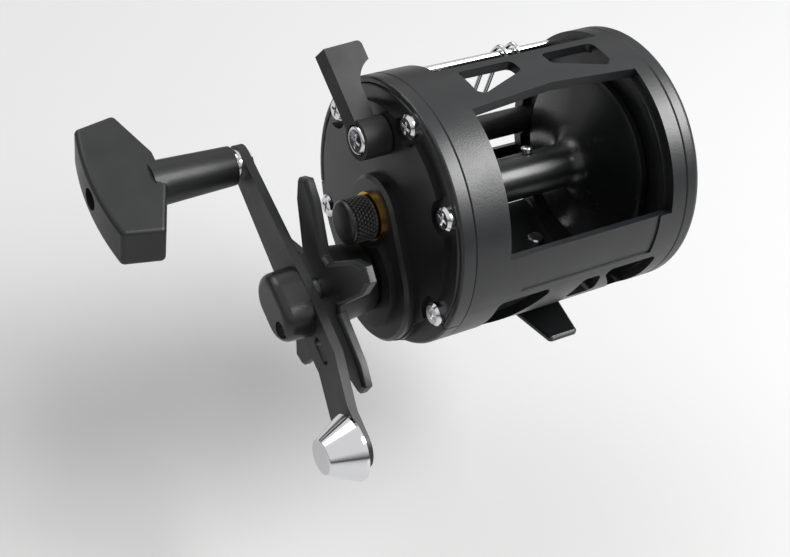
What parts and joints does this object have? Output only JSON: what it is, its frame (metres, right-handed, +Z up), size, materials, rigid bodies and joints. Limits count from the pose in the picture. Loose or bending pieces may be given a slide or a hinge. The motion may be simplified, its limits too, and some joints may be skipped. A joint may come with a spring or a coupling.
{
  "type": "trolling reel",
  "caption": "Round conventional trolling reel with level wind, star drag, side clutch lever, counterbalanced crank and open empty spool.",
  "frame": {"origin": "centre of the underside of the reel foot, where it sits in a rod's reel seat", "axes": "+X from the handle side to the tail side along the spool axis, +Y forwards along the rod to where the line leaves, +Z up from the foot to the spool"},
  "size_m": [0.1485, 0.1027, 0.0875],
  "materials": {
    "frame_composite": "satin",
    "trim_dark": "satin",
    "cover_black": "gloss",
    "knob_black": "satin",
    "spool_black": "satin",
    "arm_black": "satin",
    "star_black": "satin",
    "foot_dark": "satin",
    "chrome": "polished",
    "steel": "brushed",
    "brass": "satin",
    "fibre": "matte",
    "white_plastic": "matte"
  },
  "bodies": {
    "reel_frame": {"frame": "frame_composite", "trim_ring": "trim_dark", "handle_side_cover": "cover_black", "cover_screws": "steel", "cover_screw_bushes": "frame_composite", "tail_plate": "frame_composite", "tail_plate_screws": "steel", "reel_foot": "foot_dark", "foot_rivets": "steel", "guide_rod": "chrome", "worm_tube": "steel", "worm_bushes": "white_plastic", "spool_bearings": "steel", "bridge_plate": "steel", "bridge_screw": "steel", "yoke_posts": "steel", "yoke_springs": "steel", "drive_bushes": "white_plastic", "dog_pin": "steel", "idler_pin": "steel", "cap_sleeve": "brass"},
    "drive": {"drive_shaft": "steel", "main_gear": "brass", "drag_fibre_washers": "fibre", "drag_metal_washers": "steel", "ratchet_wheel": "steel", "crank_arm": "arm_black", "handle_nut": "chrome", "hub_cap": "cover_black", "hub_cap_screw": "steel", "counterweight": "chrome", "knob_spindle": "chrome", "knob_washers": "chrome"},
    "drag_spacer": {"drag_sleeve": "steel", "drag_spring_washers": "steel"},
    "star": {"star_drag": "star_black"},
    "knob": {"handle_knob": "knob_black"},
    "yoke": {"clutch_yoke": "white_plastic"},
    "pinion_body": {"pinion": "brass"},
    "spool_body": {"spool": "spool_black", "spool_shaft": "steel", "line_pin": "chrome", "spool_gear": "white_plastic", "click_wheel": "steel"},
    "idler": {"idler_gear": "white_plastic"},
    "worm": {"worm_shaft": "steel", "worm_gear": "white_plastic"},
    "carriage": {"line_carriage": "cover_black", "line_guide_wires": "chrome", "level_wind_pawl": "steel", "pawl_cap": "chrome"},
    "lever": {"clutch_lever": "cover_black", "clutch_lever_screw": "steel", "clutch_cam": "steel"},
    "shim": {"brake_shim": "brass"},
    "cap": {"cast_control_cap": "cover_black"},
    "dog": {"anti_reverse_dog": "steel"},
    "clicker": {"click_button": "cover_black", "click_tongue": "steel"}
  },
  "joints": [
    {"name": "handle_spin", "type": "hinge", "parent": "reel_frame", "child": "drive", "pos_m": [-0.006, -0.0031, 0.01967], "axis": [1, 0, 0], "continuous": true},
    {"name": "drag_slide", "type": "slide", "parent": "drive", "child": "drag_spacer", "axis": [-1, 0, 0], "range_m": [-0.00011, 0.00068]},
    {"name": "star_turn", "type": "hinge", "parent": "drag_spacer", "child": "star", "pos_m": [-0.006, -0.0031, 0.01967], "axis": [-1, 0, 0], "range_deg": [-45, 300]},
    {"name": "knob_spin", "type": "hinge", "parent": "drive", "child": "knob", "pos_m": [-0.006, 0.03375, 0.03623], "axis": [1, 0, 0], "continuous": true},
    {"name": "lever_turn", "type": "hinge", "parent": "reel_frame", "child": "lever", "pos_m": [-0.006, 0.0043, 0.0599], "axis": [1, 0, 0], "range_deg": [0, 45]},
    {"name": "yoke_slide", "type": "slide", "parent": "reel_frame", "child": "yoke", "axis": [-1, 0, 0], "range_m": [0, 0.00171]},
    {"name": "pinion_spin", "type": "hinge", "parent": "yoke", "child": "pinion_body", "pos_m": [-0.006, 0, 0.0374], "axis": [1, 0, 0], "continuous": true},
    {"name": "spool_spin", "type": "hinge", "parent": "reel_frame", "child": "spool_body", "pos_m": [-0.006, 0, 0.0374], "axis": [1, 0, 0], "continuous": true},
    {"name": "idler_spin", "type": "hinge", "parent": "reel_frame", "child": "idler", "pos_m": [-0.006, 0.0147, 0.03442], "axis": [1, 0, 0], "continuous": true},
    {"name": "worm_spin", "type": "hinge", "parent": "reel_frame", "child": "worm", "pos_m": [-0.006, 0.0294, 0.03143], "axis": [1, 0, 0], "continuous": true},
    {"name": "carriage_slide", "type": "slide", "parent": "reel_frame", "child": "carriage", "axis": [1, 0, 0], "range_m": [-0.019, 0.0095]},
    {"name": "shim_slide", "type": "slide", "parent": "reel_frame", "child": "shim", "axis": [-1, 0, 0], "range_m": [0, 0.00076]},
    {"name": "cap_turn", "type": "hinge", "parent": "shim", "child": "cap", "pos_m": [-0.006, 0, 0.0374], "axis": [-1, 0, 0], "range_deg": [0, 360]},
    {"name": "dog_tilt", "type": "hinge", "parent": "reel_frame", "child": "dog", "pos_m": [-0.006, -0.01456, 0.0155], "axis": [1, 0, 0], "range_deg": [-12, 0]},
    {"name": "clicker_slide", "type": "slide", "parent": "reel_frame", "child": "clicker", "axis": [0, 0, -1], "range_m": [0, 0.002]}
  ],
  "couplings": [
    {"joint": "drag_slide", "follows": "star_turn", "m_per_rad": 0.00012732},
    {"joint": "yoke_slide", "follows": "lever_turn", "m_per_rad": 0.0021645},
    {"joint": "pinion_spin", "follows": "handle_spin", "ratio": -3.8},
    {"joint": "spool_spin", "follows": "handle_spin", "ratio": -3.8},
    {"joint": "idler_spin", "follows": "handle_spin", "ratio": 1.2},
    {"joint": "worm_spin", "follows": "handle_spin", "ratio": -3.8},
    {"joint": "shim_slide", "follows": "cap_turn", "m_per_rad": 0.00011937}
  ]
}
